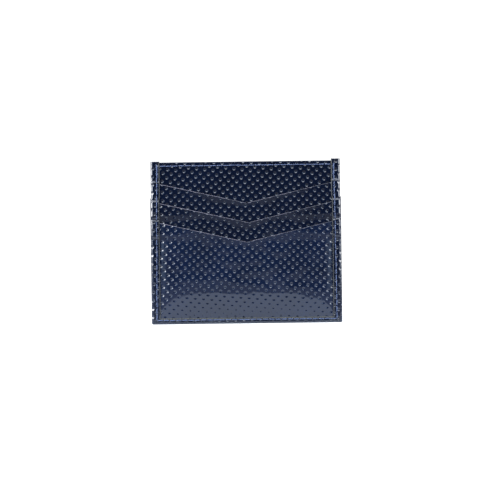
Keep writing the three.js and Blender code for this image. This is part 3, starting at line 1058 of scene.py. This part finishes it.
WHITE = (1.3, 1.3, 1.3, 1)  # what the camera sees of the floor, just past white
POOL_FULL, POOL_END = 0.058, 0.068  # where the painted glowing pool is full and where it ends, in metres from the case, in front of it and behind
floor_paint, tree, paint = new_material("white_floor")
nodes, links = tree.nodes, tree.links
set_sockets(paint, {
    "Base Color": (0.12, 0.12, 0.13, 1), "Roughness": 0.9, "Specular IOR Level": 0,
    "Emission Strength": 1,
})
# to the eye the floor is evenly white; to everything else only a painted pool of light near the case
# glows, standing in for a lamp, which lights the case from below and shows in the patent leather
seen = nodes.new("ShaderNodeLightPath")
spot = nodes.new("ShaderNodeTexCoord")
forward = nodes.new("ShaderNodeSeparateXYZ")
links.new(spot.outputs["Object"], forward.inputs["Vector"])
pool = nodes.new("ShaderNodeMapRange")
set_sockets(pool, {"From Min": POOL_END, "From Max": POOL_FULL})
links.new(calculated(tree, "ABSOLUTE", forward.outputs["Y"]), pool.inputs["Value"])
painted_glow_pool = nodes.new("ShaderNodeMix")
painted_glow_pool.data_type = "RGBA"
set_sockets(painted_glow_pool, {"A": (0, 0, 0, 1), "B": (1.05, 1.22, 1.5, 1)})
links.new(pool.outputs["Result"], painted_glow_pool.inputs["Factor"])
glow_at = nodes.new("ShaderNodeMix")
glow_at.data_type = "RGBA"
glow_at.inputs["B"].default_value = WHITE
links.new(seen.outputs["Is Camera Ray"], glow_at.inputs["Factor"])
links.new(painted_glow_pool.outputs["Result"], glow_at.inputs["A"])
links.new(glow_at.outputs["Result"], paint.inputs["Emission Color"])
floor_mesh.materials.append(floor_paint)

world = bpy.data.worlds.new("studio")
bpy.context.scene.world = world
world.use_nodes = True
nodes, links = world.node_tree.nodes, world.node_tree.links
backdrop = nodes["Background"]
backdrop.inputs["Color"].default_value = WHITE
tent = nodes.new("ShaderNodeBackground")
light_path = nodes.new("ShaderNodeLightPath")
either = nodes.new("ShaderNodeMixShader")
links.new(light_path.outputs["Is Camera Ray"], either.inputs["Fac"])
links.new(tent.outputs[0], either.inputs[1])
links.new(backdrop.outputs[0], either.inputs[2])
links.new(either.outputs[0], nodes["World Output"].inputs["Surface"])
# the tent glows at both sides and above, but for a dark gap in front of the case and one behind it
direction = nodes.new("ShaderNodeTexCoord")
facing = nodes.new("ShaderNodeVectorMath")
facing.operation = "DOT_PRODUCT"
facing.inputs[1].default_value = (0, -1, 0)
links.new(direction.outputs["Generated"], facing.inputs[0])
round_tent = nodes.new("ShaderNodeMapRange")
round_tent.inputs["From Min"].default_value = -1
links.new(facing.outputs["Value"], round_tent.inputs["Value"])
glow = nodes.new("ShaderNodeValToRGB")
# from straight behind the case round to straight in front of it
for position, color in (
    (0.2, (0.05, 0.06, 0.08, 1)), (0.3, (1.4, 1.5, 1.7, 1)), (0.5, (3.4, 3.6, 4.0, 1)),
    (0.66, (3.0, 3.3, 3.8, 1)), (0.75, (1.5, 1.9, 2.5, 1)), (0.88, (1.2, 1.6, 2.2, 1)),
    (0.93, (0.02, 0.022, 0.03, 1)),
):
    stop = glow.color_ramp.elements.new(position)
    stop.color = color
glow.color_ramp.elements.remove(glow.color_ramp.elements[0])
glow.color_ramp.elements.remove(glow.color_ramp.elements[-1])
links.new(round_tent.outputs["Result"], glow.inputs["Fac"])
links.new(glow.outputs["Color"], tent.inputs["Color"])


def softbox(name, place, aim, width, height, power):
    """A rectangular soft light of some watts, aimed at a point."""
    light = bpy.data.lights.new(name, "AREA")
    light.shape = "RECTANGLE"
    light.size, light.size_y = width, height
    light.energy = power
    lamp = bpy.data.objects.new(name, light)
    bpy.context.collection.objects.link(lamp)
    lamp.location = place
    lamp.rotation_euler = (Vector(aim) - Vector(place)).to_track_quat("-Z", "Y").to_euler()
    lamp.visible_camera = False


SIDE_ASIDE, SIDE_FORWARD, SIDE_HEIGHT = 0.69, -0.17, 0.33
case_middle = (case_low + case_high) / 2
softbox("top_light", (0, -0.6, 0.65), case_middle, width=0.8, height=0.35, power=3.6)
for name, side, power in (("left_light", -1, 10), ("right_light", 1, 5)):
    place = (side * SIDE_ASIDE, SIDE_FORWARD, SIDE_HEIGHT)
    softbox(name, place, (0, 0, SIDE_HEIGHT), width=0.42, height=0.55, power=power)

camera_data = bpy.data.cameras.new("camera")
camera = bpy.data.objects.new("camera", camera_data)
bpy.context.collection.objects.link(camera)
bpy.context.scene.camera = camera
FRAME_WIDTH = 256.5 * MM  # what the frame takes in at the case
CAMERA_DISTANCE = 1.4
CAMERA_ASIDE, CAMERA_HEIGHT = -0.6 * MM, 41.2 * MM
CAMERA_ROLL = math.radians(0.75)
camera_data.angle = 2 * math.atan(FRAME_WIDTH / 2 / CAMERA_DISTANCE)
camera.location = (CAMERA_ASIDE, -CAMERA_DISTANCE, CAMERA_HEIGHT)
camera.rotation_euler = (math.pi / 2, CAMERA_ROLL, 0)
camera_data.clip_start = 10 * MM
bpy.context.scene.view_settings.view_transform = "Standard"
